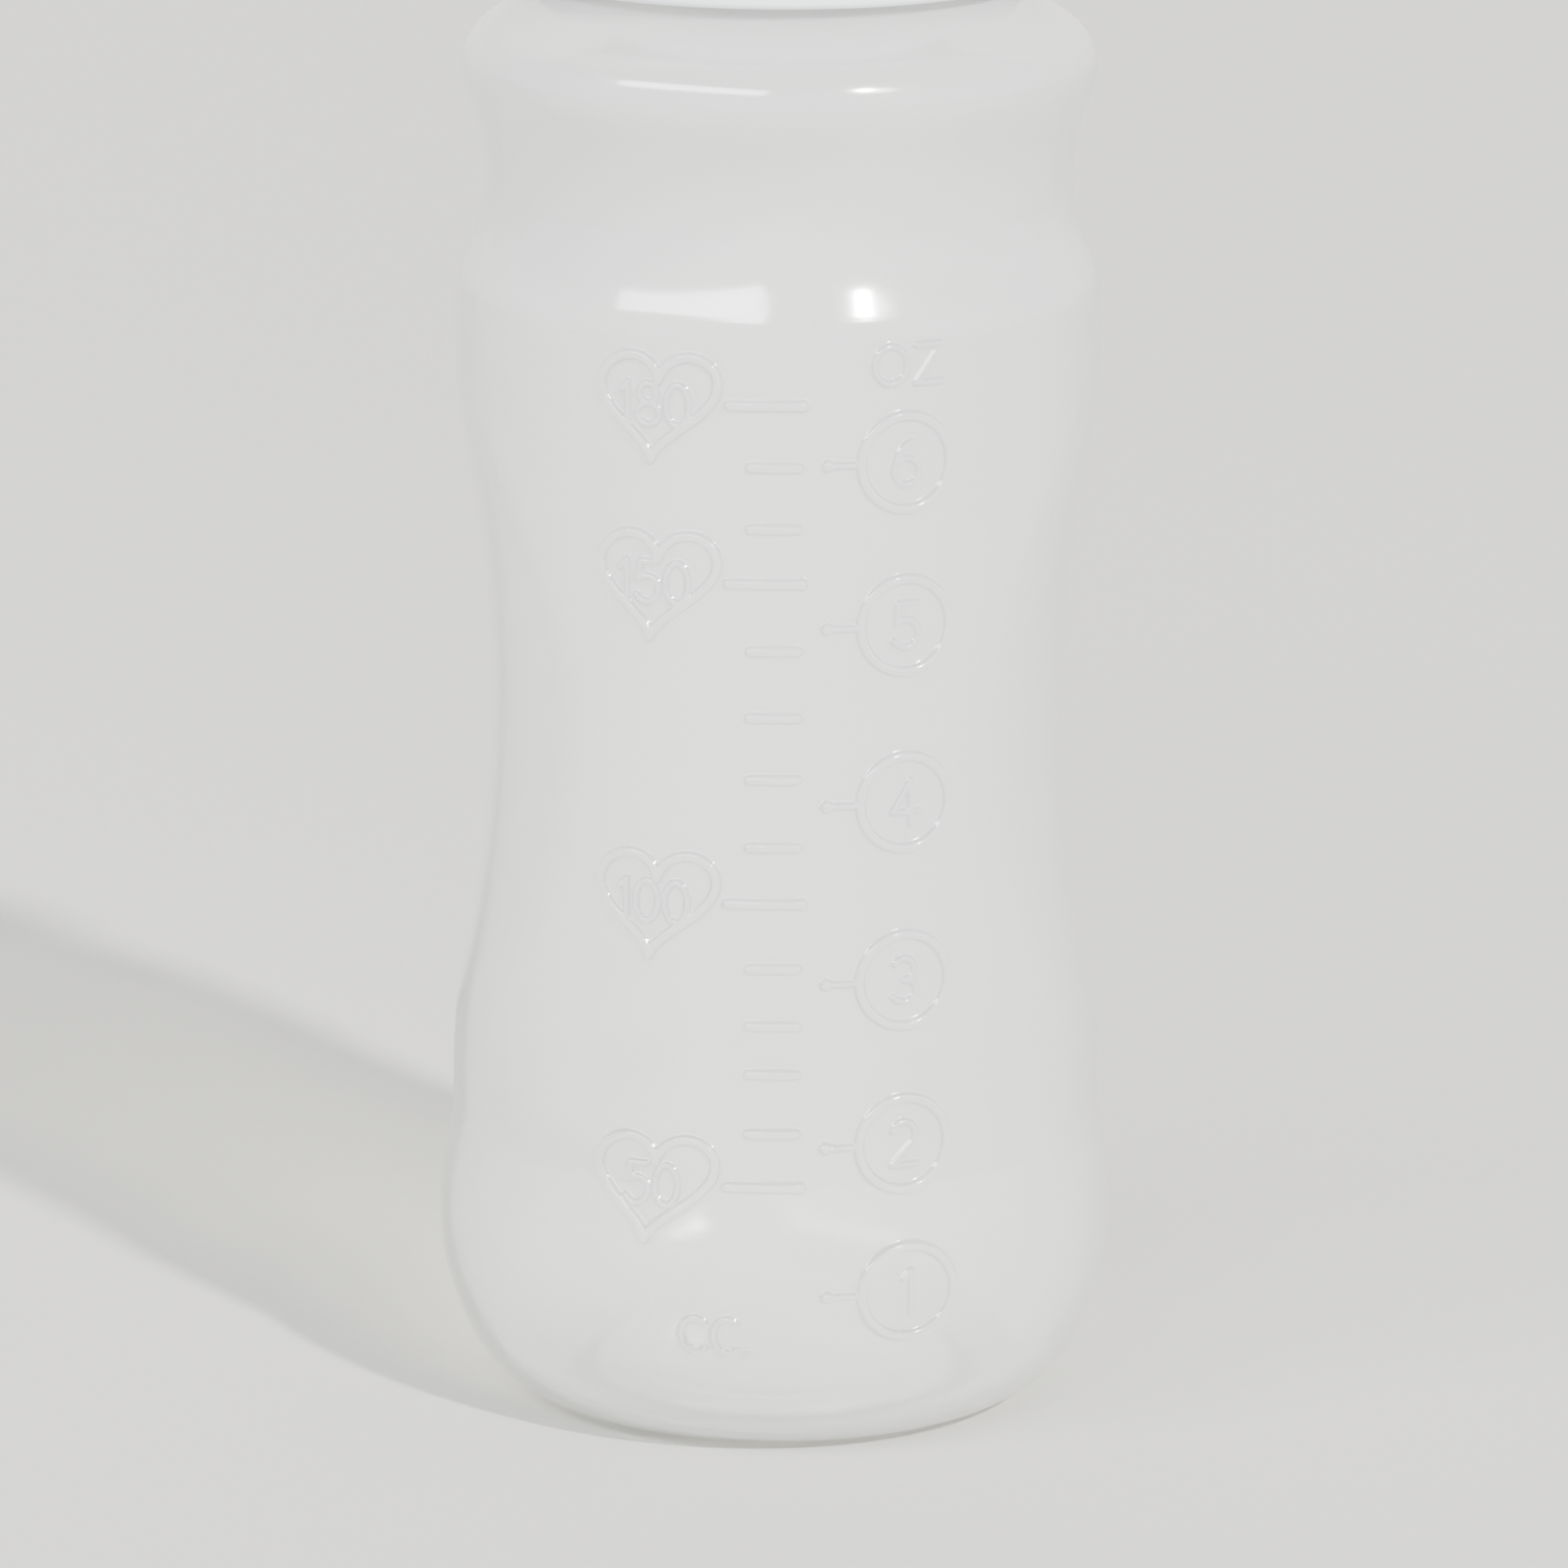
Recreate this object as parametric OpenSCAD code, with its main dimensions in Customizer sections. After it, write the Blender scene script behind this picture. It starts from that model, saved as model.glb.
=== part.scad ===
// Baby bottle: a translucent waisted body with a standard screw neck, a screw ring, a silicone
// teat clamped under the ring, and a snap-on hood over the teat.
// Millimetres, +Z up, origin at the centre of the foot, the scale panel faces -Y.

/* [Bottle body] */
// Radius where the underside and the lower flank would meet if the corner were sharp
base_corner_r = 24; // [23.5:0.1:24.5]
// Rounding of that corner
base_round = 9.7; // [9:0.1:10.2]
// Radius of the bulge above the base, before rounding
bulge_r = 29.9; // [29.5:0.1:30.4]
// Height of the bulge
bulge_z = 13.4; // [12.8:0.1:14]
// Radius of the flat band above the bulge
lower_band_r = 27.65; // [27.4:0.05:27.9]
// Radius of the flat band under the neck
upper_band_r = 27.15; // [26.9:0.05:27.4]
// Height of the top of the upper band
upper_band_z = 96.6; // [96:0.1:97.2]
// Radius of the groove between the upper band and the bead, before rounding
neck_in_r = 23.5; // [23.1:0.05:23.9]
// Radius of the bead under the screw ring, before rounding
bead_r = 27.6; // [27.2:0.1:28]
// Height of the bead
bead_z = 116.5; // [116:0.1:117]
// Wall thickness all over
wall = 1.2; // [1:0.1:1.3]
// Height of the dome pushed up into the underside
push_up = 2.6; // [2:0.1:3]

/* [Side grips] */
// Distance of the grips' own axis behind the bottle's axis
grip_offset = 10.9; // [10:0.1:12]
// Half width across the grips at the waist, before rounding
waist_r = 22.3; // [22:0.1:22.8]
// Height of the waist
waist_z = 58.3; // [57:0.1:60]

/* [Volume scale] */
// Height of the 50 cc mark
mark_low_z = 24.8; // [24.4:0.1:25.2]
// Height of the 180 cc mark
mark_high_z = 90.7; // [90.2:0.1:91]
// How far the marks stand out of the wall
mark_h = 0.3; // [0.2:0.05:0.4]

/* [Screw neck] */
// Outer radius of the neck
neck_r = 18; // [17.8:0.1:18.1]
// Height of the lip
lip_z = 135.5; // [135:0.1:136]
// Rise of the thread in one turn
pitch = 4; // [4:0.1:4.2]
// Turns of thread on the neck
neck_turns = 1.25; // [1:0.05:1.3]
// How far the thread stands out of the neck
thread_h = 1.1; // [0.9:0.05:1.15]

/* [Screw ring] */
// Outer radius of the ring's smooth band
ring_r = 21.8; // [21.6:0.1:22.2]
// Height of the ring's lower edge
ring_z = 122.3; // [122.3:0.1:122.8]
// Number of grip ribs around the ring
rib_count = 44; // [30:1:50]
// Radius of the hole that the teat stands in
ring_hole_r = 14; // [13.9:0.1:14.2]

/* [Teat] */
// Thickness of the flange clamped between the lip and the ring
flange_h = 1.8; // [1.6:0.1:2]
// Radius of the flange
flange_r = 18.1; // [17.8:0.1:18.2]
// Silicone thickness of the dome
teat_wall = 1.5; // [1.3:0.1:1.7]
// Radius of the feeding hole
feed_hole_r = 0.4; // [0.3:0.05:0.6]

/* [Hood] */
// Wall thickness of the hood
hood_wall = 1.1; // [1:0.1:1.2]
// Height of the top of the hood
hood_z = 178; // [177.5:0.5:182]

/* [Hidden] */
$fn = 96;

// Arcs are drawn in steps of at most this angle and this length
ARC_ANGLE = 10;
ARC_LENGTH = 4;
// Room left past a face that a cut has to break through
PAST = 1;

BODY_COLOUR = [0.86, 0.89, 0.9, 0.55];
RING_COLOUR = [0.95, 0.96, 0.98];
TEAT_COLOUR = [0.93, 0.9, 0.84, 0.8];
HOOD_COLOUR = [0.88, 0.91, 0.93, 0.45];

// ---- Rounded outlines -------------------------------------------------------------------
// An outline is a list of corners [radius, height, rounding]. It runs with the solid on its
// left, and the same list, inset, is the wall's inner face.

function xy(corner) = [corner[0], corner[1]];
function run(c, i) = (xy(c[i + 1]) - xy(c[i])) / norm(xy(c[i + 1]) - xy(c[i]));
function left_of(d) = [-d[1], d[0]];
function turned(v, a) = [v[0] * cos(a) - v[1] * sin(a), v[0] * sin(a) + v[1] * cos(a)];

// Angle that the outline turns through at corner i, to the left
function turn_at(c, i) =
    let (a = run(c, i - 1), b = run(c, i))
    atan2(a[0] * b[1] - a[1] * b[0], a * b);

// Left-hand normals of the runs that meet at corner i
function normal_in(c, i) = left_of(run(c, max(i - 1, 0)));
function normal_out(c, i) = left_of(run(c, min(i, len(c) - 2)));

// Corner i after every run has moved inset to its left. A corner on the axis stays on it.
function inset_corner(c, i, inset) =
    let (
        a = normal_in(c, i),
        b = normal_out(c, i),
        moved = xy(c[i]) + inset * (a + b) / (1 + a * b)
    )
    c[i][0] == 0 ? [0, moved[1]] : moved;

// Points of the arc at corner i, or the sharp corner where nothing is left to round
function corner_points(c, i, inset) =
    let (
        turn = turn_at(c, i),
        round_r = c[i][2] - sign(turn) * inset,
        corner = inset_corner(c, i, inset)
    )
    c[i][2] == 0 || round_r <= 0 ? [corner] :
    let (
        start = corner - run(c, i - 1) * round_r * tan(abs(turn) / 2),
        spoke = -sign(turn) * round_r * left_of(run(c, i - 1)),
        arc_len = round_r * abs(turn) * PI / 180,
        steps = max(2, ceil(abs(turn) / ARC_ANGLE), ceil(arc_len / ARC_LENGTH))
    )
    [for (k = [0 : steps]) start - spoke + turned(spoke, turn * k / steps)];

function rounded(c, inset = 0) = [
    inset_corner(c, 0, inset),
    for (i = [1 : len(c) - 2]) each corner_points(c, i, inset),
    inset_corner(c, len(c) - 1, inset)
];

// ---- Bottle body ------------------------------------------------------------------------

SHOULDER_Z = 122.9;     // where the sloped shoulder would meet the neck
body_corners = [
    [0, 0, 0],
    [base_corner_r, 0, base_round],
    [bulge_r, bulge_z, 23],
    [lower_band_r, 24.6, 3.5],
    [upper_band_r, upper_band_z, 7],
    [neck_in_r, 105.2, 16],
    [bead_r, bead_z, 4.8],
    [neck_r, SHOULDER_Z, 1],
    [neck_r, lip_z, 0]
];

// Profile of a side grip. Its ends run just outside the two bands, so that the grip fades out
// into them, and its middle is the waist.
GRIP_END_GAP = 0.1;
grip_corners = [
    [lower_band_r - 0.01, 26, 0],
    [lower_band_r - 0.05, 33.2, 28],
    [waist_r, waist_z, 114],
    [upper_band_r + GRIP_END_GAP, 87.9, 11],
    [upper_band_r + GRIP_END_GAP, 94, 0]
];
GRIP_REACH = 45;        // outer radius of the ring-shaped cut that a grip is made with

// Underside dome
push_up_corners = [
    [16, -PAST, 0],
    [14.2, push_up - 0.7, 2.5],
    [0, push_up, 0]
];

module revolve(points) {
    rotate_extrude() polygon(points);
}

// A grip is turned about its own axis, set back on the far side of the bottle's, so its
// horizontal section is flatter than the body's
module grip_cut(inset) {
    profile = [for (p = rounded(grip_corners, inset)) p + [grip_offset, 0]];
    low = profile[0][1];
    high = profile[len(profile) - 1][1];
    translate([-grip_offset, 0, 0])
        revolve(concat(profile, [[GRIP_REACH, high], [GRIP_REACH, low]]));
}

// The bottle's outside, or with an inset the space inside its wall
module form(inset = 0) {
    past_lip = inset > 0 ? PAST : 0;
    difference() {
        revolve(concat(rounded(body_corners, inset), [
            [neck_r - inset, lip_z + past_lip],
            [0, lip_z + past_lip]
        ]));
        grip_cut(inset);
        rotate([0, 0, 180]) grip_cut(inset);
    }
}

module push_up_dome(grow = 0) {
    revolve(concat([[0, -PAST - grow]], rounded(push_up_corners, -grow)));
}

// ---- Volume scale -----------------------------------------------------------------------

CC_LOW = 50;
CC_HIGH = 180;
CC_STEP = 10;
CC_PER_OZ = 28.4;
OZ_COUNT = 6;
LONG_MARKS = [50, 100, 150, 180];
MARK_W = 0.9;           // width of a raised line
MARK_REACH = 40;        // depth of the blocks that the lines are cut from
LONG_X = [-4, 2.3];     // ends of a long cc mark
SHORT_X = [-2.4, 1.9];  // ends of a short cc mark
OZ_X = 4.1;             // inner end of an oz mark
OZ_RING_X = 10.5;       // middle of the ring at the end of an oz mark
OZ_RING_R = 3.9;

// The marks lie further apart at the waist, which holds less for its height
function mark_z(cc) =
    let (part = (cc - CC_LOW) / (CC_HIGH - CC_LOW))
    mark_low_z + (mark_high_z - mark_low_z) * part - 0.7 * sin(180 * part) - 0.8 * sin(360 * part);

module mark_bar(ends, z) {
    translate([ends[0], -MARK_REACH, z - MARK_W / 2])
        cube([ends[1] - ends[0], MARK_REACH, MARK_W]);
}

module mark_ring(z) {
    translate([OZ_RING_X, 0, z]) rotate([90, 0, 0]) difference() {
        cylinder(r = OZ_RING_R + MARK_W / 2, h = MARK_REACH);
        translate([0, 0, -PAST]) cylinder(r = OZ_RING_R - MARK_W / 2, h = MARK_REACH + 2 * PAST);
    }
}

// Lines that grow out of the middle of the front wall
module volume_marks() {
    intersection() {
        difference() {
            form(-mark_h);
            form(wall / 2);
        }
        union() {
            for (cc = [CC_LOW : CC_STEP : CC_HIGH])
                mark_bar(len(search(cc, LONG_MARKS)) > 0 ? LONG_X : SHORT_X, mark_z(cc));
            for (oz = [1 : OZ_COUNT]) {
                mark_bar([OZ_X, OZ_RING_X - OZ_RING_R], mark_z(oz * CC_PER_OZ));
                mark_ring(mark_z(oz * CC_PER_OZ));
            }
        }
    }
}

// ---- Threads ----------------------------------------------------------------------------

THREAD_STEPS = 32;      // sections in one turn
FADE = 0.06;            // part of a turn over which a thread's end fades out
SUNK = 0.5;             // depth of the thread's root inside the wall that it grows from
ROOT_HALF = 0.95;       // half the ridge's height at its root
CREST_HALF = 0.45;      // half the ridge's height at its crest

// A right-hand ridge of trapezoid section. The root is at root_r and the crest h outside it,
// or inside it where h is negative.
module thread_ridge(root_r, h, z_start, start_turn, turns) {
    side = sign(h);
    count = ceil(turns * THREAD_STEPS);
    function fade(k) = min(1, k / count * turns / FADE, (count - k) / count * turns / FADE);
    function section(k) =
        let (
            turn = start_turn + turns * k / count,
            z = z_start + pitch * turn,
            crest = root_r + h * fade(k),
            half = ROOT_HALF - (ROOT_HALF - CREST_HALF) * fade(k),
            sunk_r = root_r - side * SUNK
        )
        [for (q = [[sunk_r, -ROOT_HALF], [crest, -half], [crest, half], [sunk_r, ROOT_HALF]])
            [q[0] * cos(360 * turn), q[0] * sin(360 * turn), z + q[1]]];
    last = 4 * count;
    faces = concat(
        [[0, 1, 2], [0, 2, 3], [last, last + 2, last + 1], [last, last + 3, last + 2]],
        [for (k = [0 : count - 1], j = [0 : 3], upper = [0, 1]) let (
            a = 4 * k + j,
            b = 4 * k + (j + 1) % 4
        ) upper == 0 ? [a, a + 4, b + 4] : [a, b + 4, b]]
    );
    polyhedron(
        points = [for (k = [0 : count]) each section(k)],
        faces = side > 0 ? [for (f = faces) [f[0], f[2], f[1]]] : faces,
        convexity = 6
    );
}

NECK_THREAD_Z = 127;            // middle of the neck's ridge at its lower end
// The ring's ridge hangs this far below the neck's, which leaves it free to turn
RIDGE_GAP = 1.6;
RING_BORE_GAP = 0.4;            // from the neck's ridge to the ring's bore
ring_bore_r = neck_r + thread_h + RING_BORE_GAP;
RING_TURNS = 1.1;

module bottle_body() {
    color(BODY_COLOUR) {
        difference() {
            form();
            difference() {
                form(wall);
                push_up_dome(wall);
            }
            push_up_dome();
        }
        thread_ridge(neck_r, thread_h, NECK_THREAD_Z, 0, neck_turns);
        volume_marks();
    }
}

// ---- Screw ring -------------------------------------------------------------------------

PLATE_H = 1.8;                  // thickness of the ring's top plate
plate_z = lip_z + flange_h;     // underside of the top plate
ring_top_z = plate_z + PLATE_H;
LEDGE_DROP = 3.5;               // the hood's ledge lies this far below the ring's top
ledge_z = ring_top_z - LEDGE_DROP;
BAND_H = 3;                     // height of the smooth band at the ring's foot
RIB_R = 0.6;
RIB_PROUD = 0.5;                // how far the ribs stand out
spigot_r = 20.3;                // radius of the step that the hood slides over
DETENT = 0.15;                  // height of the bead that the hood clicks over

ring_corners = [
    [ring_bore_r + 0.5, ring_z, 0],
    [ring_r, ring_z, 0.5],
    [ring_r, ring_z + BAND_H, 0.3],
    [ring_r - RIB_PROUD, ring_z + BAND_H + 0.5, 0.3],
    [ring_r - RIB_PROUD, ledge_z, 0.4],
    [spigot_r, ledge_z, 0.15],
    [spigot_r, ledge_z + 1.6, 0],
    [spigot_r + DETENT, ledge_z + 1.9, 0.2],
    [spigot_r, ledge_z + 2.2, 0],
    [spigot_r, ring_top_z, 0.8],
    [ring_hole_r, ring_top_z, 0.5],
    [ring_hole_r, plate_z, 0.2],
    [ring_bore_r, plate_z, 0.3],
    [ring_bore_r, ring_z + 0.8, 0]
];

module screw_ring() {
    rib_z = ring_z + BAND_H;
    color(RING_COLOUR) {
        revolve(rounded(ring_corners));
        for (i = [0 : rib_count - 1]) {
            rotate([0, 0, 360 * i / rib_count])
                translate([ring_r - RIB_R, 0, rib_z])
                    cylinder(r = RIB_R, h = ledge_z - rib_z - 0.8, $fn = 24);
        }
        thread_ridge(ring_bore_r, -thread_h, NECK_THREAD_Z - RIDGE_GAP, 0, RING_TURNS);
    }
}

// ---- Teat -------------------------------------------------------------------------------

COLLAR_GAP = 0.3;               // teat to ring, so that the ring turns round it
COLLAR_R = 14.9;                // lip that keeps the teat in the ring's hole
TEAT_BORE_R = 12.2;             // inside of the teat at its flange
collar_z = ring_top_z + COLLAR_GAP;
TEAT_TOP = 173.2;
VENT_R = 0.5;
VENT_AT = 15.6;                 // distance of the air vent from the axis

flange_corners = [
    [0, lip_z, 0],
    [flange_r, lip_z, 0.3],
    [flange_r, plate_z, 0.3],
    [ring_hole_r - COLLAR_GAP - 0.1, plate_z, 0],
    [ring_hole_r - COLLAR_GAP - 0.1, collar_z, 0.2],
    [COLLAR_R, collar_z, 0.4]
];
dome_corners = [
    [COLLAR_R, collar_z + 1, 0],
    [COLLAR_R, 150, 9],
    [6.4, 153.4, 4.5],
    [5.3, 161, 18],
    [6.9, 167.6, 7],
    [6.4, TEAT_TOP, 4.6],
    [0, TEAT_TOP, 0]
];

module teat() {
    color(TEAT_COLOUR) difference() {
        revolve(rounded(concat(flange_corners, dome_corners)));
        revolve(concat(
            [[0, lip_z - PAST], [TEAT_BORE_R, lip_z - PAST], [TEAT_BORE_R, collar_z + 1]],
            rounded(dome_corners, teat_wall)
        ));
        translate([0, 0, TEAT_TOP - teat_wall - PAST])
            cylinder(r = feed_hole_r, h = teat_wall + 2 * PAST, $fn = 24);
        translate([VENT_AT, 0, lip_z - PAST])
            cylinder(r = VENT_R, h = flange_h + 2 * PAST, $fn = 24);
    }
}

// ---- Hood -------------------------------------------------------------------------------

HOOD_GAP = 0.2;                 // hood to the ring's step
hood_r = spigot_r + HOOD_GAP + hood_wall;
hood_corners = [
    [hood_r, ledge_z, 0],
    [hood_r - 0.3, 150, 40],
    [hood_r - 2.9, hood_z - 1.8, 10],
    [0, hood_z, 0]
];

module hood() {
    color(HOOD_COLOUR) difference() {
        revolve(concat([[0, ledge_z]], rounded(hood_corners)));
        revolve(concat(
            [[0, ledge_z - PAST], [hood_r - hood_wall, ledge_z - PAST]],
            rounded(hood_corners, hood_wall)
        ));
    }
}

bottle_body();
screw_ring();
teat();
hood();
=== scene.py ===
from math import atan2, ceil, cos, degrees, pi, radians, sin, tan

import bpy
import numpy as np
from mathutils import Euler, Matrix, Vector


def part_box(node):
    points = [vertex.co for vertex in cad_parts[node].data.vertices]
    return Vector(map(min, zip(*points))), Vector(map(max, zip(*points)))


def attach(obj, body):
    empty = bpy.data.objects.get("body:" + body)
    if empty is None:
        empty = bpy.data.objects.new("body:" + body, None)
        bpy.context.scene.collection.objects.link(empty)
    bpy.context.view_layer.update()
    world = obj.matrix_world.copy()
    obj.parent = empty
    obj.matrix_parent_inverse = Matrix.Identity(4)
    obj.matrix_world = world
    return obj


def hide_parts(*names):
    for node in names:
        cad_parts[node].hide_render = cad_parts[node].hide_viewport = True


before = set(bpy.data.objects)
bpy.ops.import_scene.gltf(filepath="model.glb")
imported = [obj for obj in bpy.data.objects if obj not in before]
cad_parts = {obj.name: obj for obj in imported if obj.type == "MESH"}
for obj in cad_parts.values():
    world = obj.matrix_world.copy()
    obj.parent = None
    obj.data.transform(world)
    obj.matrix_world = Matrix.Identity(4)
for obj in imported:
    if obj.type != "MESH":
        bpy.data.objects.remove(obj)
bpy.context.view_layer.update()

# Lengths below are in millimetres, in the CAD's frame: +Z up, the scale panel faces -Y.
MM = 0.001
TINY = 1e-6             # allowance for rounding errors
ON_WALL = 0.02          # a path's point this near to a radius lies on it


def top_of(node):
    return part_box(node)[1][2] / MM


def bottom_of(node):
    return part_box(node)[0][2] / MM


def radius_of(node):
    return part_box(node)[1][0] / MM


# ---- Rounded outlines, as in the CAD: corners (radius, height, rounding), solid on the left ----

def rounded(corners, inset=0.0, arc_step=5.0, arc_length=0.8):
    """Points of the outline after it has moved inset to its left. Arcs are drawn in steps of at
    most arc_step degrees and arc_length."""
    at = [np.array(c[:2], float) for c in corners]
    way = [(b - a) / np.linalg.norm(b - a) for a, b in zip(at, at[1:])]
    normal = [np.array([-d[1], d[0]]) for d in way]
    points = []
    for i, corner in enumerate(corners):
        before = normal[max(i - 1, 0)]
        after = normal[min(i, len(way) - 1)]
        moved = at[i] + inset * (before + after) / (1 + before @ after)
        if corner[0] == 0:
            moved[0] = 0.0
        turn = atan2(before[0] * after[1] - before[1] * after[0], before @ after)
        side = np.sign(turn)
        r = corner[2] - side * inset
        if corner[2] == 0 or r <= 0 or turn == 0:
            points.append(moved)
            continue
        start = moved - way[i - 1] * r * tan(abs(turn) / 2)
        spoke = -side * r * before
        steps = max(2, ceil(degrees(abs(turn)) / arc_step), ceil(r * abs(turn) / arc_length))
        for k in range(steps + 1):
            a = turn * k / steps
            spun = np.array([spoke[0] * cos(a) - spoke[1] * sin(a),
                             spoke[0] * sin(a) + spoke[1] * cos(a)])
            points.append(start - spoke + spun)
    return np.array(points)


def spaced(points, step):
    """The same path with its longer runs cut up, so that no run passes step(height)."""
    out = [points[0]]
    for a, b in zip(points, points[1:]):
        n = max(1, ceil(np.linalg.norm(b - a) / step((a[1] + b[1]) / 2) - TINY))
        out.extend(a + (b - a) * k / n for k in range(1, n + 1))
    return np.array(out)


# ---- Meshes turned about the axis --------------------------------------------------------------

def columns_round(step):
    """Angles round the axis, in radians from -Y towards +X."""
    n = ceil(360 / step)
    return np.arange(n) * 2 * pi / n - pi


def lathe(name, r, z, angles, closed=False):
    """A mesh from radii and heights, one row per outline point and one column per angle. A row
    of zero radius becomes one point on the axis. closed joins the last row to the first."""
    rows, cols = r.shape
    vertices, first, on_axis = [], [], []
    count = 0
    for i in range(rows):
        first.append(count)
        pole = not closed and i in (0, rows - 1) and abs(r[i]).max() < TINY
        on_axis.append(pole)
        if pole:
            vertices.append([[0.0, 0.0, z[i, 0]]])
            count += 1
        else:
            vertices.append(np.stack([r[i] * np.sin(angles), -r[i] * np.cos(angles), z[i]], 1))
            count += cols
    here = np.arange(cols)
    there = (here + 1) % cols
    quads, tris = [], []
    for i in range(rows if closed else rows - 1):
        j = (i + 1) % rows
        a, b = first[i], first[j]
        if on_axis[i]:
            tris.append(np.stack([np.full(cols, a), b + there, b + here], 1))
        elif on_axis[j]:
            tris.append(np.stack([a + here, a + there, np.full(cols, b)], 1))
        else:
            quads.append(np.stack([a + here, a + there, b + there, b + here], 1))
    mesh = bpy.data.meshes.new(name)
    points = np.concatenate(vertices) * MM
    faces = np.concatenate(quads).tolist()
    if tris:
        faces += np.concatenate(tris).tolist()
    mesh.from_pydata(points.tolist(), [], faces)
    mesh.validate()
    mesh.shade_smooth()
    piece = bpy.data.objects.new(name, mesh)
    bpy.context.scene.collection.objects.link(piece)
    return piece


def turned(path, angles):
    """Plain radii and heights of a path for lathe()."""
    path = np.asarray(path)
    return np.repeat(path[:, :1], len(angles), 1), np.repeat(path[:, 1:], len(angles), 1)


# ---- Bottle body -------------------------------------------------------------------------------

LIP_Z = top_of("bottle_body")
WALL = 1.2
NECK_R = 18.0
PUSH_UP = 2.6           # height of the dome pushed up into the underside

BODY_CORNERS = [
    (0, PUSH_UP, 0),
    (14.2, PUSH_UP - 0.7, 2.5),
    (15.4, 0, 0.5),
    (24.0, 0, 9.7),
    (29.9, 13.4, 23),
    (27.65, 24.6, 3.5),
    (27.15, 96.6, 7),
    (23.5, 105.2, 16),
    (27.6, 116.5, 4.8),
    (NECK_R, 122.9, 1),
    (NECK_R, LIP_Z - WALL / 2, 0),
]
GRIP_CORNERS = [
    (28.0, 26, 0),
    (27.6, 33.2, 28),
    (22.3, 58.3, 114),
    (27.25, 87.9, 11),
    (27.7, 94, 0),
]
GRIP_OFFSET = 10.9      # the grips are turned about an axis this far behind the bottle's
EDGE_BLEND = 0.35       # how far the edge between a grip and the round body is softened

PITCH = 4.0
THREAD_H = 1.1
NECK_THREAD_Z = 127.0   # middle of the neck's ridge at its lower end
NECK_TURNS = 1.25
RIDGE_GAP = 1.6         # the ring's ridge hangs this far below the neck's
RING_THREAD_Z = NECK_THREAD_Z - RIDGE_GAP
RING_TURNS = 1.1
ROOT_HALF = 0.95        # half the ridge's height at its root
CREST_HALF = 0.45       # and at its crest
FADE = 0.06             # part of a turn over which a ridge's end fades out


def smooth(t):
    return t * t * (3 - 2 * t)


def soft_min(a, b, reach):
    """The smaller of two values, blended where they are within reach of each other."""
    h = np.clip(0.5 + 0.5 * (b - a) / reach, 0, 1)
    return b + (a - b) * h - reach * h * (1 - h)


def grip_radius(angles, z, inset):
    """Distance from the bottle's axis to a side grip, along each angle, at each height."""
    profile = rounded(GRIP_CORNERS, 0.0, 2.0)
    reach = np.interp(z, profile[:, 1], profile[:, 0]) + GRIP_OFFSET - inset
    across = GRIP_OFFSET * np.cos(angles)[None, :]
    along = GRIP_OFFSET * np.abs(np.sin(angles))[None, :]
    return np.sqrt(reach[:, None] ** 2 - across ** 2) - along


def body_radius(path, angles, inset):
    """Radius of the waisted body at every point of a path, along each angle."""
    r = np.repeat(path[:, :1], len(angles), 1)
    z = path[:, 1]
    rows = (z > GRIP_CORNERS[0][1]) & (z < GRIP_CORNERS[-1][1])
    r[rows] = soft_min(r[rows], grip_radius(angles, z[rows], inset), EDGE_BLEND)
    return r


def thread_height(angles, z, z_start, turns):
    """Height of a right-hand ridge at each angle and height, from 0 to THREAD_H. Its first
    section lies on +X, as in the CAD."""
    from_x = (angles - pi / 2) / (2 * pi)
    height = np.zeros((len(z), len(angles)))
    for lap in range(-1, ceil(turns) + 1):
        turn = from_x + lap
        fade = np.clip(np.minimum(turn, turns - turn) / FADE, 0, 1)
        away = np.abs(z[:, None] - (z_start + PITCH * turn)[None, :])
        flank = np.clip((ROOT_HALF - away) / (ROOT_HALF - CREST_HALF), 0, 1)
        height = np.maximum(height, THREAD_H * fade[None, :] * smooth(flank))
    return height


# ---- The moulded scale -------------------------------------------------------------------------
# Marks are strokes on the front panel: u runs right along the surface from the middle, v is up.

STROKE_HALF = 0.5       # half the width of a raised stroke
STROKE_H = 0.42         # how far it stands out
FINE_HALF = 0.34        # the same two for numerals and leaders
FINE_H = 0.34
DOT_HALF = 0.62         # half the width of the dot that ends a long mark or a leader
DOT_LENGTH = 0.01
SHOULDER = 0.5          # share of the half width over which a stroke's edge slopes
PANEL_R = 27.3          # radius that u is measured on

CC_FIRST, CC_STEP = 50, 10
CC_LONG = (50, 100, 150, 180)
CC_HEIGHTS = [24.8, 29.4, 34.5, 38.6, 43.5, 49.0, 53.8, 59.5, 64.7, 70.3, 75.9, 80.5, 85.6, 90.7]
OZ_HEIGHTS = [15.6, 28.1, 42.1, 57.2, 72.1, 85.7]
LONG_U = (-4.0, 2.0)    # ends of a long cc mark
SHORT_U = (-2.2, 1.7)   # ends of a short cc mark
HEART_U = -10.2
HEART_SIZE = (10.2, 8.6)
HEART_DROP = 0.5        # a heart's middle lies this far below its mark
HEART_LEAN = 0.1        # how far a heart leans right, for each unit of height
CC_TEXT_U = HEART_U - 0.1
CC_TEXT_DROP = 0.2
CC_TEXT_SIZE = 3.4
CIRCLE_U = 10.8
CIRCLE_R = 3.9
LEADER_U = 4.1          # inner end of the leader to a circle
OZ_TEXT_SIZE = 3.7
UNIT_SIZE = 3.9
OZ_UNIT = (CIRCLE_U + 0.2, CC_HEIGHTS[-1] + 3.5)
CC_UNIT = (-4.7, CC_HEIGHTS[0] - 12.3)


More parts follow.
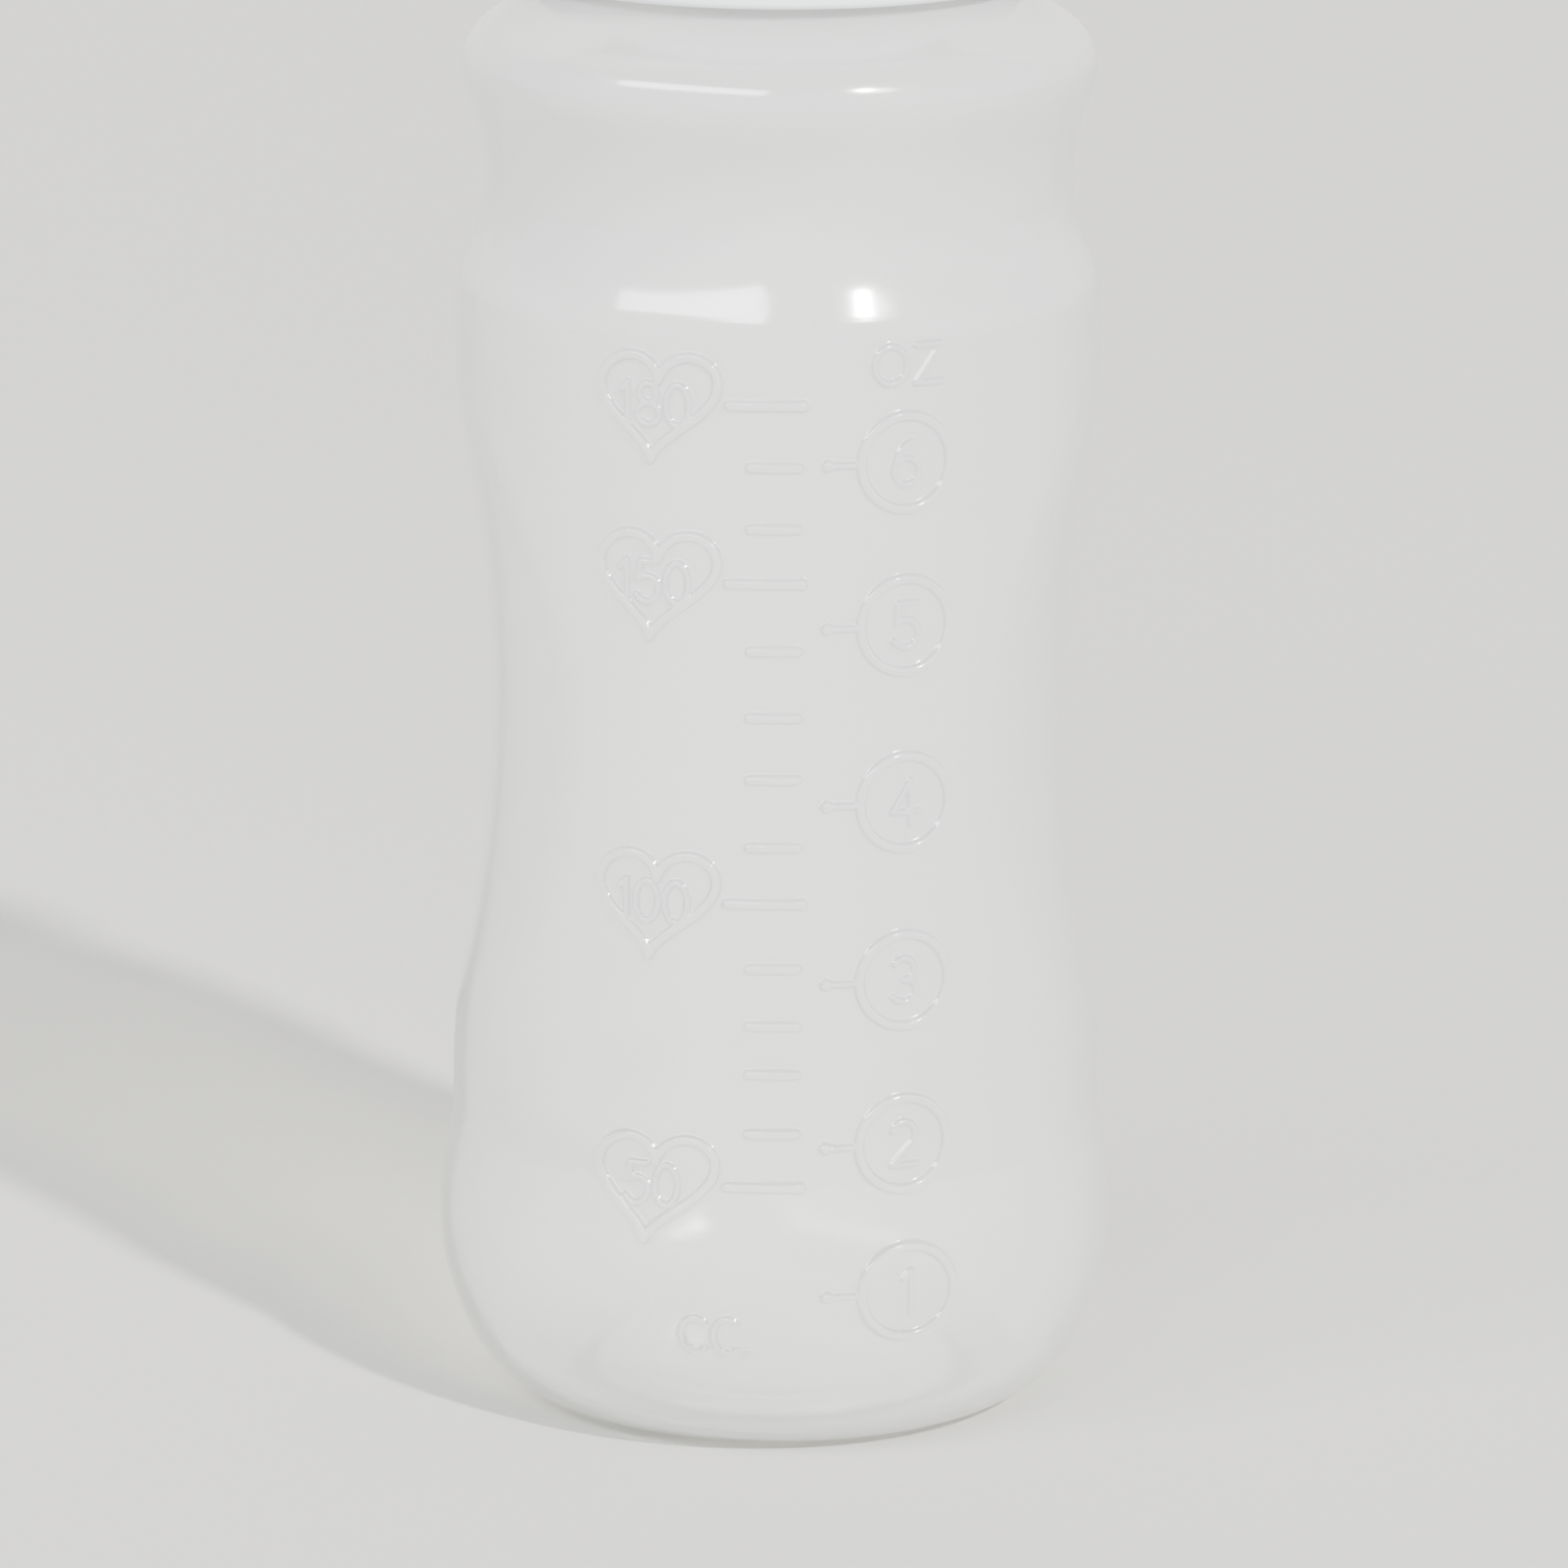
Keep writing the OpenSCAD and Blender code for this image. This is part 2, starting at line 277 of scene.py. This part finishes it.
def arc(cx, cy, rx, ry, start, end, n=14):
    """Part of an ellipse, in n steps between two angles in degrees."""
    a = np.radians(np.linspace(start, end, n + 1))
    return np.stack([cx + rx * np.cos(a), cy + ry * np.sin(a)], 1)


def line(*points):
    return np.array(points, float)


# Glyphs stand on v = 0 and are 1 high
GLYPHS = {
    "0": (0.58, [arc(0.29, 0.5, 0.29, 0.5, 90, 450, 24)]),
    "1": (0.26, [line((0, 0.8), (0.18, 1), (0.18, 0))]),
    "2": (0.58, [np.concatenate([arc(0.28, 0.71, 0.28, 0.29, 165, -35), line((0, 0), (0.6, 0))])]),
    "3": (0.56, [arc(0.26, 0.75, 0.25, 0.25, 150, -90), arc(0.26, 0.26, 0.3, 0.26, 90, -150)]),
    "4": (0.62, [line((0.44, 0), (0.44, 1), (0, 0.28), (0.62, 0.28))]),
    "5": (0.58, [np.concatenate([line((0.54, 1), (0.1, 1), (0.06, 0.55)),
                                 arc(0.27, 0.32, 0.31, 0.32, 125, -150)])]),
    "6": (0.58, [arc(0.29, 0.3, 0.29, 0.3, 90, 450, 22), arc(0.62, 0.32, 0.61, 0.68, 180, 110)]),
    "8": (0.58, [arc(0.29, 0.76, 0.23, 0.24, 90, 450, 20), arc(0.29, 0.26, 0.29, 0.26, 90, 450, 22)]),
    "c": (0.5, [arc(0.3, 0.4, 0.3, 0.4, 50, 310)]),
    "o": (0.75, [arc(0.36, 0.4, 0.36, 0.4, 90, 450, 22)]),
    "z": (0.62, [line((0.02, 0.8), (0.6, 0.8), (0, 0), (0.62, 0))]),
    ".": (0.1, [line((0.05, 0.02), (0.06, 0.02))]),
}
GLYPH_GAP = 0.17


def written(text, u, v, size):
    """Strokes of a short text centred on u, v."""
    width = sum(GLYPHS[g][0] for g in text) + GLYPH_GAP * (len(text) - 1)
    x = -width / 2
    strokes = []
    for g in text:
        w, parts = GLYPHS[g]
        strokes += [(p + (x, -0.5)) * size + (u, v) for p in parts]
        x += w + GLYPH_GAP
    return strokes


def heart(u, v, width, height):
    """Outline of a heart centred on u, v."""
    t = np.linspace(0, 2 * pi, 61)
    x = 16 * np.sin(t) ** 3
    y = 13 * np.cos(t) - 5 * np.cos(2 * t) - 2 * np.cos(3 * t) - np.cos(4 * t)
    y -= (y.max() + y.min()) / 2
    y *= height / (y.max() - y.min())
    return np.stack([u + x * width / 32 + HEART_LEAN * y, v + y], 1)


def raised(path, half=STROKE_HALF, tall=STROKE_H):
    return [(path, half, tall)]


def dot(u, v):
    return raised(line((u, v), (u + DOT_LENGTH, v)), DOT_HALF)


def lettering(text, u, v, size):
    return [(path, FINE_HALF, FINE_H) for path in written(text, u, v, size)]


def scale_strokes():
    """(points, half width, height) of every stroke of the scale."""
    strokes = []
    for k, z in enumerate(CC_HEIGHTS):
        cc = CC_FIRST + CC_STEP * k
        start, end = LONG_U if cc in CC_LONG else SHORT_U
        strokes += raised(line((start, z), (end, z)))
        if cc in CC_LONG:
            strokes += dot(end, z)
            strokes += raised(heart(HEART_U, z - HEART_DROP, *HEART_SIZE))
            strokes += lettering(str(cc), CC_TEXT_U, z - CC_TEXT_DROP, CC_TEXT_SIZE)
    for k, z in enumerate(OZ_HEIGHTS):
        strokes += raised(arc(CIRCLE_U, z, CIRCLE_R, CIRCLE_R, 0, 360, 48))
        strokes += raised(line((LEADER_U, z), (CIRCLE_U - CIRCLE_R, z)), FINE_HALF, FINE_H)
        strokes += dot(LEADER_U, z)
        strokes += lettering(str(k + 1), CIRCLE_U, z, OZ_TEXT_SIZE)
    return strokes + lettering("oz", *OZ_UNIT, UNIT_SIZE) + lettering("cc.", *CC_UNIT, UNIT_SIZE)


def relief(u, v):
    """Height of the scale over a grid of u by v."""
    height = np.zeros((len(v), len(u)))
    for points, half, tall in scale_strokes():
        for a, b in zip(points, points[1:]):
            cu = np.where((u > min(a[0], b[0]) - half) & (u < max(a[0], b[0]) + half))[0]
            cv = np.where((v > min(a[1], b[1]) - half) & (v < max(a[1], b[1]) + half))[0]
            if len(cu) == 0 or len(cv) == 0:
                continue
            du = u[cu][None, :] - a[0]
            dv = v[cv][:, None] - a[1]
            d = b - a
            t = np.clip((du * d[0] + dv * d[1]) / (d @ d), 0, 1)
            away = np.hypot(du - t * d[0], dv - t * d[1]) / half
            bump = tall * smooth(np.clip((1 - away) / SHOULDER, 0, 1))
            block = np.ix_(cv, cu)
            height[block] = np.maximum(height[block], bump)
    return height


PANEL_HALF = radians(35)        # half the angle of the panel that holds the scale
MARK_LOW, MARK_HIGH = 9.0, 99.0
FINE_STEP = 0.15                # spacing of rows and columns on the panel
PLAIN_STEP = 0.45               # spacing of the outer wall's other rows
INNER_STEP = 1.2                # spacing of the inner wall's rows
PLAIN_COLUMNS = 72              # steps from one edge of the panel to the other, round the back


def body_columns():
    """Angles round the bottle, close together over the scale and wider elsewhere."""
    fine = 2 * ceil(PANEL_HALF * PANEL_R / FINE_STEP)
    front = np.linspace(-PANEL_HALF, PANEL_HALF, fine + 1)
    rest = PANEL_HALF + (2 * pi - 2 * PANEL_HALF) * np.arange(1, PLAIN_COLUMNS) / PLAIN_COLUMNS
    return np.concatenate([front, rest])


def outer_step(z):
    return FINE_STEP if MARK_LOW < z < MARK_HIGH else PLAIN_STEP


def make_body():
    angles = body_columns()
    outer = spaced(rounded(BODY_CORNERS), outer_step)
    inner = spaced(rounded(BODY_CORNERS, WALL), lambda z: INNER_STEP)
    lip_r = WALL / 2
    lip = [(NECK_R - lip_r + lip_r * cos(a), LIP_Z - lip_r + lip_r * sin(a))
           for a in np.radians([30, 60, 90, 120, 150])]
    r_out, z_out = body_radius(outer, angles, 0.0), outer[:, 1]
    front = np.abs(angles) <= PANEL_HALF + TINY
    marked = (z_out > MARK_LOW) & (z_out < MARK_HIGH)
    marks = np.zeros_like(r_out)
    marks[np.ix_(marked, front)] = relief(angles[front] * PANEL_R, z_out[marked])
    r_out += marks
    neck = np.abs(outer[:, 0] - NECK_R) < ON_WALL
    r_out[neck] += thread_height(angles, z_out[neck], NECK_THREAD_Z, NECK_TURNS)
    r_in = body_radius(inner, angles, WALL)[::-1]
    r_lip, z_lip = turned(lip, angles)
    r = np.concatenate([r_out, r_lip, r_in])
    z = np.concatenate([np.repeat(z_out[:, None], len(angles), 1), z_lip,
                        np.repeat(inner[::-1, 1:], len(angles), 1)])
    piece = lathe("bottle_shell", r, z, angles)
    # How raised each point is, for the material, which paints shade on the marks' sloping edges from
    # it. The outline's first row is one point.
    height = np.concatenate([marks[0, :1], marks[1:].ravel()]) / STROKE_H
    share = np.zeros(len(piece.data.vertices))
    share[:len(height)] = height
    piece.data.attributes.new("relief", "FLOAT", "POINT").data.foreach_set("value", share)
    return piece


# ---- Screw ring --------------------------------------------------------------------------------

RING_R = radius_of("screw_ring")
RING_Z = bottom_of("screw_ring")
RING_TOP = top_of("screw_ring")
BORE_GAP = 0.4          # from the neck's ridge to the ring's bore
RING_BORE = NECK_R + THREAD_H + BORE_GAP
SEAM_Z = 128.0          # where the outline starts and ends, on the bore
HOLE_R = 14.0
PLATE_H = 1.8           # thickness of the top plate
PLATE_Z = RING_TOP - PLATE_H
LEDGE_Z = bottom_of("hood")
SPIGOT_R = 20.3         # radius of the step that the hood slides over
DETENT = 0.15           # height of the bead round that step
BAND_H = 3.0            # height of the smooth band at the ring's foot
RIBS = 44
RIB_COLUMNS = 12        # columns to a rib
RIB_PROUD = 0.5         # how far the ribs stand out
RIB_SHAPE = 0.7         # under 1 makes the ribs broader than a cosine's crest
RIB_FOOT_FADE = 0.5     # height over which the ribs fade out at the foot
RIB_TOP_FADE = 0.8      # and at the top


def make_ring():
    angles = columns_round(360 / (RIBS * RIB_COLUMNS))
    corners = [
        (RING_BORE, SEAM_Z, 0),
        (RING_BORE, RING_Z + 0.9, 0.3),
        (RING_BORE + 0.5, RING_Z, 0.35),
        (RING_R, RING_Z, 0.6),
        (RING_R, RING_Z + BAND_H, 0.35),
        (RING_R - RIB_PROUD, RING_Z + BAND_H + 0.5, 0.35),
        (RING_R - RIB_PROUD, LEDGE_Z, 0.5),
        (SPIGOT_R, LEDGE_Z, 0.2),
        (SPIGOT_R, LEDGE_Z + 1.5, 0.3),
        (SPIGOT_R + DETENT, LEDGE_Z + 1.9, 0.4),
        (SPIGOT_R, LEDGE_Z + 2.3, 0.3),
        (SPIGOT_R, RING_TOP, 0.9),
        (HOLE_R, RING_TOP, 0.6),
        (HOLE_R, PLATE_Z, 0.3),
        (RING_BORE, PLATE_Z, 0.6),
        (RING_BORE, SEAM_Z + 0.2, 0),
    ]
    path = spaced(rounded(corners, 0, 8.0), lambda z: 0.3)
    r, z = turned(path, angles)
    # Ribs: rounded ridges between the band and the ledge, fading out at both ends
    low, high = RING_Z + BAND_H + 0.1, LEDGE_Z - 0.2
    outside = path[:, 0] > SPIGOT_R + RIB_PROUD + 0.1
    ribbed = outside & (path[:, 1] > low) & (path[:, 1] < high + 0.1)
    rise = np.clip((path[ribbed, 1] - low) / RIB_FOOT_FADE, 0, 1)
    fall = np.clip((high - path[ribbed, 1]) / RIB_TOP_FADE, 0, 1)
    room = np.clip(RING_R - path[ribbed, 0], 0, RIB_PROUD)
    wave = np.clip(np.cos(angles * RIBS), 0, 1) ** RIB_SHAPE
    r[ribbed] += (rise * fall * room)[:, None] * wave[None, :]
    bore = np.abs(path[:, 0] - RING_BORE) < ON_WALL
    r[bore] -= thread_height(angles, path[bore, 1], RING_THREAD_Z, RING_TURNS)
    return lathe("ring_shell", r, z, angles, closed=True)


# ---- Teat --------------------------------------------------------------------------------------

TEAT_TOP = top_of("teat")
TEAT_WALL = 1.5
TEAT_BORE_R = 12.2      # inside of the teat at its flange
FLANGE_R = 18.1
WAIST_R = 13.6          # where the teat stands in the ring's hole
COLLAR_GAP = 0.3        # from the ring's top to the collar that holds the teat in it
COLLAR_Z = RING_TOP + COLLAR_GAP
COLLAR_R = 14.9
FEED_HOLE_R = 0.45
BASE_BEVEL = 0.3
TEAT_CORNERS = [
    (TEAT_BORE_R, LIP_Z, 0),
    (FLANGE_R, LIP_Z, 0.3),
    (FLANGE_R, PLATE_Z, 0.3),
    (WAIST_R, PLATE_Z, 0),
    (WAIST_R, COLLAR_Z, 0.2),
    (COLLAR_R, COLLAR_Z, 0.4),
]
DOME_CORNERS = [
    (COLLAR_R, COLLAR_Z + 1, 0),
    (COLLAR_R, 150, 9),
    (6.4, 153.4, 4.5),
    (5.3, 161, 18),
    (6.9, 167.6, 7),
    (6.4, TEAT_TOP, 4.6),
    (FEED_HOLE_R, TEAT_TOP, 0.1),
]


def make_teat():
    angles = columns_round(3.0)
    outside = rounded(TEAT_CORNERS + DOME_CORNERS)
    inside = rounded(DOME_CORNERS, TEAT_WALL)[::-1]
    base = [(TEAT_BORE_R, COLLAR_Z + 1.2), (TEAT_BORE_R, LIP_Z + BASE_BEVEL)]
    path = spaced(np.concatenate([outside, inside, base]), lambda z: 0.6)
    r, z = turned(path, angles)
    return lathe("teat_shell", r, z, angles, closed=True)


# ---- Hood --------------------------------------------------------------------------------------

HOOD_TOP = top_of("hood")
HOOD_WALL = 1.1
HOOD_R = radius_of("hood")
RIM_BEVEL = 0.25        # bevel at the foot, outside
RIM_BEVEL_IN = 0.2      # width of the same inside
HOOD_CORNERS = [
    (HOOD_R, LEDGE_Z, 0),
    (HOOD_R - 0.3, 150, 40),
    (HOOD_R - 2.9, HOOD_TOP - 1.8, 10),
    (0, HOOD_TOP, 0),
]


def make_hood():
    angles = columns_round(2.5)
    outside = spaced(rounded(HOOD_CORNERS), lambda z: 1.0)
    inside = spaced(rounded(HOOD_CORNERS, HOOD_WALL), lambda z: 1.0)
    rim = [(HOOD_R - HOOD_WALL + RIM_BEVEL_IN, LEDGE_Z), (HOOD_R - RIM_BEVEL, LEDGE_Z)]
    outside[0, 1] += RIM_BEVEL
    inside[0, 1] += RIM_BEVEL
    path = np.concatenate([inside[::-1], rim, outside])
    r, z = turned(path, angles)
    return lathe("hood_shell", r, z, angles)


# ---- Materials ---------------------------------------------------------------------------------

def material(name, **sockets):
    """A Principled material with its constants set on the shader's own sockets."""
    mat = bpy.data.materials.new(name)
    mat.use_nodes = True
    shader = mat.node_tree.nodes["Principled BSDF"]
    for socket, value in sockets.items():
        shader.inputs[socket.replace("_", " ")].default_value = value
    return mat, mat.node_tree, shader


def node(tree, kind, **settings):
    """A new node. Each setting goes to the input of that name, or else to the node itself."""
    made = tree.nodes.new(kind)
    for key, value in settings.items():
        if key in made.inputs:
            made.inputs[key].default_value = value
        else:
            setattr(made, key, value)
    return made


def noise(tree, scale, detail=3.0, rough=0.5):
    coords = node(tree, "ShaderNodeTexCoord")
    made = node(tree, "ShaderNodeTexNoise", Scale=scale, Detail=detail, Roughness=rough)
    tree.links.new(coords.outputs["Object"], made.inputs["Vector"])
    return made


def vary(tree, source, low, high, socket):
    """Drives a shader socket with a texture, between two values."""
    span = node(tree, "ShaderNodeMapRange")
    span.inputs["From Min"].default_value = 0.3
    span.inputs["From Max"].default_value = 0.7
    span.inputs["To Min"].default_value = low
    span.inputs["To Max"].default_value = high
    tree.links.new(source.outputs["Fac"], span.inputs["Value"])
    tree.links.new(span.outputs["Result"], socket)


def set_ramp(ramp, *stops):
    """Sets a colour ramp's two end stops, each (position, colour)."""
    for stop, (position, colour) in zip(ramp.color_ramp.elements, stops):
        stop.position = position
        stop.color = (*colour, 1)


def tint(tree, source, first, second, socket):
    """Drives a shader's colour with a texture, between two colours."""
    ramp = node(tree, "ShaderNodeValToRGB")
    set_ramp(ramp, (0.3, first), (0.7, second))
    tree.links.new(source.outputs["Fac"], ramp.inputs["Fac"])
    tree.links.new(ramp.outputs["Color"], socket)


def bumps(tree, shader, source, strength, depth):
    made = node(tree, "ShaderNodeBump")
    made.inputs["Strength"].default_value = strength
    made.inputs["Distance"].default_value = depth
    tree.links.new(source.outputs["Fac"], made.inputs["Height"])
    tree.links.new(made.outputs["Normal"], shader.inputs["Normal"])


def lets_lamps_through(tree, shader, through, at_edge):
    """Lamps shine through the wall without being bent, so that its shadow is pale, but less so
    where they only graze it, which gives the shadow a dark rim."""
    path = node(tree, "ShaderNodeLightPath")
    facing = node(tree, "ShaderNodeLayerWeight", Blend=0.5)
    ramp = node(tree, "ShaderNodeValToRGB")
    set_ramp(ramp, (0.4, through), (0.85, at_edge))
    clear = node(tree, "ShaderNodeBsdfTransparent")
    mix = node(tree, "ShaderNodeMixShader")
    tree.links.new(facing.outputs["Facing"], ramp.inputs["Fac"])
    tree.links.new(ramp.outputs["Color"], clear.inputs["Color"])
    tree.links.new(path.outputs["Is Shadow Ray"], mix.inputs["Fac"])
    tree.links.new(shader.outputs["BSDF"], mix.inputs[1])
    tree.links.new(clear.outputs["BSDF"], mix.inputs[2])
    tree.links.new(mix.outputs["Shader"], tree.nodes["Material Output"].inputs["Surface"])


def milky_plastic():
    mat, tree, shader = material(
        "milky_polypropylene", Transmission_Weight=0.79, IOR=1.45,
        Coat_Weight=1.0, Coat_Roughness=0.12, Coat_IOR=1.5)
    cloud = noise(tree, 35.0)
    marks = node(tree, "ShaderNodeAttribute", attribute_name="relief")
    # Painted shade: a mark's sloping edge is coloured a little darker than the wall and the mark's
    # top, standing in for the dark lines that light bent and reflected at the slopes draws
    painted_edge_shade = node(tree, "ShaderNodeValToRGB")
    set_ramp(painted_edge_shade, (0.05, (1, 1, 1)), (0.9, (1, 1, 1)))
    painted_edge_shade.color_ramp.elements.new(0.4).color = (0.7, 0.74, 0.77, 1)
    both = node(tree, "ShaderNodeMix", data_type="RGBA", blend_type="MULTIPLY")
    both.inputs[0].default_value = 1.0
    tree.links.new(marks.outputs["Fac"], painted_edge_shade.inputs["Fac"])
    tree.links.new(painted_edge_shade.outputs["Color"], both.inputs[7])
    tint(tree, cloud, (0.972, 0.982, 0.992), (0.985, 0.991, 0.998), both.inputs[6])
    tree.links.new(both.outputs[2], shader.inputs["Base Color"])
    vary(tree, cloud, 0.09, 0.13, shader.inputs["Roughness"])
    bumps(tree, shader, noise(tree, 90.0, 2.0), 0.10, 0.0003)
    lets_lamps_through(tree, shader, (0.63, 0.63, 0.58), (0.1, 0.1, 0.08))
    return mat


def white_plastic():
    mat, tree, shader = material(
        "white_polypropylene", IOR=1.5, Subsurface_Weight=0.15, Subsurface_Scale=0.002,
        Coat_Weight=0.4, Coat_Roughness=0.06)
    cloud = noise(tree, 60.0)
    tint(tree, cloud, (0.875, 0.905, 0.955), (0.9, 0.925, 0.97), shader.inputs["Base Color"])
    vary(tree, cloud, 0.22, 0.32, shader.inputs["Roughness"])
    bumps(tree, shader, noise(tree, 400.0, 2.0), 0.06, 0.0002)
    return mat


def silicone():
    mat, tree, shader = material("silicone", Transmission_Weight=0.55, IOR=1.41)
    cloud = noise(tree, 50.0)
    tint(tree, cloud, (0.90, 0.875, 0.82), (0.93, 0.91, 0.87), shader.inputs["Base Color"])
    vary(tree, cloud, 0.32, 0.45, shader.inputs["Roughness"])
    bumps(tree, shader, noise(tree, 700.0, 3.0), 0.12, 0.0002)
    lets_lamps_through(tree, shader, (0.8, 0.78, 0.74), (0.4, 0.38, 0.34))
    return mat


def clear_plastic():
    mat, tree, shader = material(
        "clear_polypropylene", Transmission_Weight=0.9, IOR=1.45,
        Coat_Weight=1.0, Coat_Roughness=0.04, Coat_IOR=1.5)
    cloud = noise(tree, 30.0)
    tint(tree, cloud, (0.93, 0.95, 0.96), (0.95, 0.965, 0.975), shader.inputs["Base Color"])
    vary(tree, cloud, 0.16, 0.22, shader.inputs["Roughness"])
    bumps(tree, shader, noise(tree, 80.0, 2.0), 0.08, 0.0003)
    lets_lamps_through(tree, shader, (0.92, 0.92, 0.92), (0.6, 0.6, 0.6))
    return mat


# ---- Floor, light and camera -------------------------------------------------------------------

def make_sweep():
    """A pale paper sweep: flat under the bottle, curving up into a wall behind it."""
    front, start, radius, height, side = -2500.0, 850.0, 700.0, 2600.0, 3000.0
    profile = [(front, 0.0), (start, 0.0)]
    profile += [(start + radius * sin(a), radius - radius * cos(a))
                for a in np.radians(range(5, 91, 5))]
    profile.append((start + radius, height))
    points = [(x, y, z) for y, z in profile for x in (-side, side)]
    faces = [(2 * i, 2 * i + 1, 2 * i + 3, 2 * i + 2) for i in range(len(profile) - 1)]
    mesh = bpy.data.meshes.new("paper_sweep")
    mesh.from_pydata([Vector(p) * MM for p in points], [], faces)
    mesh.shade_smooth()
    sweep = bpy.data.objects.new("paper_sweep", mesh)
    bpy.context.scene.collection.objects.link(sweep)
    mat, tree, shader = material("paper", Roughness=0.9, IOR=1.4)
    grain = noise(tree, 900.0, 4.0)
    tint(tree, grain, (0.628, 0.622, 0.596), (0.643, 0.637, 0.611), shader.inputs["Base Color"])
    bumps(tree, shader, grain, 0.25, 0.0002)
    mesh.materials.append(mat)


def aim(obj, at):
    obj.rotation_euler = (Vector(at) - obj.location).to_track_quat("-Z", "Y").to_euler()


def make_lights():
    """A sun from the right, a window from the left, and a room that is brighter from below."""
    sun = bpy.data.lights.new("key", "SUN")
    sun.energy = 6.0
    sun.angle = radians(3.0)
    sun.color = (1.0, 0.985, 0.95)
    key = bpy.data.objects.new("key", sun)
    azimuth, elevation = radians(34), radians(33)
    key.location = (sin(azimuth) * cos(elevation), -cos(azimuth) * cos(elevation), sin(elevation))
    aim(key, (0, 0, 0))
    soft = bpy.data.lights.new("window", "AREA")
    soft.shape = "RECTANGLE"
    soft.size, soft.size_y = 1.7, 0.3
    soft.energy = 34.0
    window = bpy.data.objects.new("window", soft)
    window.location = (-0.85, -1.2, 1.15)
    aim(window, (0, 0, 0.08))
    for lamp in (key, window):
        bpy.context.scene.collection.objects.link(lamp)
    world = bpy.data.worlds.new("room")
    world.use_nodes = True
    tree = world.node_tree
    sky = tree.nodes["Background"]
    coords = tree.nodes.new("ShaderNodeTexCoord")
    parts = tree.nodes.new("ShaderNodeSeparateXYZ")
    ramp = tree.nodes.new("ShaderNodeValToRGB")
    set_ramp(ramp, (0.25, (1.8, 1.845, 1.92)), (0.75, (0.52, 0.53, 0.55)))
    tree.links.new(coords.outputs["Generated"], parts.inputs["Vector"])
    tree.links.new(parts.outputs["Z"], ramp.inputs["Fac"])
    tree.links.new(ramp.outputs["Color"], sky.inputs["Color"])
    sky.inputs["Strength"].default_value = 1.0
    bpy.context.scene.world = world


def make_camera():
    """A long lens, a little above the bottle."""
    lens = bpy.data.cameras.new("camera")
    lens.lens = 205.0
    lens.sensor_width = 36.0
    lens.clip_start = 0.05
    camera = bpy.data.objects.new("camera", lens)
    bpy.context.scene.collection.objects.link(camera)
    pitch, distance, height, aside = radians(13.475), 761.2, 52.63, 0.62
    camera.location = Vector((aside, -distance * cos(pitch), height + distance * sin(pitch))) * MM
    camera.rotation_euler = Euler((pi / 2 - pitch, 0, 0))
    camera.rotation_euler.rotate_axis("Z", radians(0.22))
    bpy.context.scene.camera = camera


make_camera()
make_lights()
make_sweep()

PIECES = [
    (make_body(), milky_plastic(), "bottle", "bottle_body", "body_pp"),
    (make_ring(), white_plastic(), "ring", "screw_ring", "ring_pp"),
    (make_teat(), silicone(), "closure", "teat", "teat_silicone"),
    (make_hood(), clear_plastic(), "cap", "hood", "hood_pp"),
]
for piece, look, body, part, slot in PIECES:
    piece.data.materials.append(look)
    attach(piece, body)
    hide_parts(part)
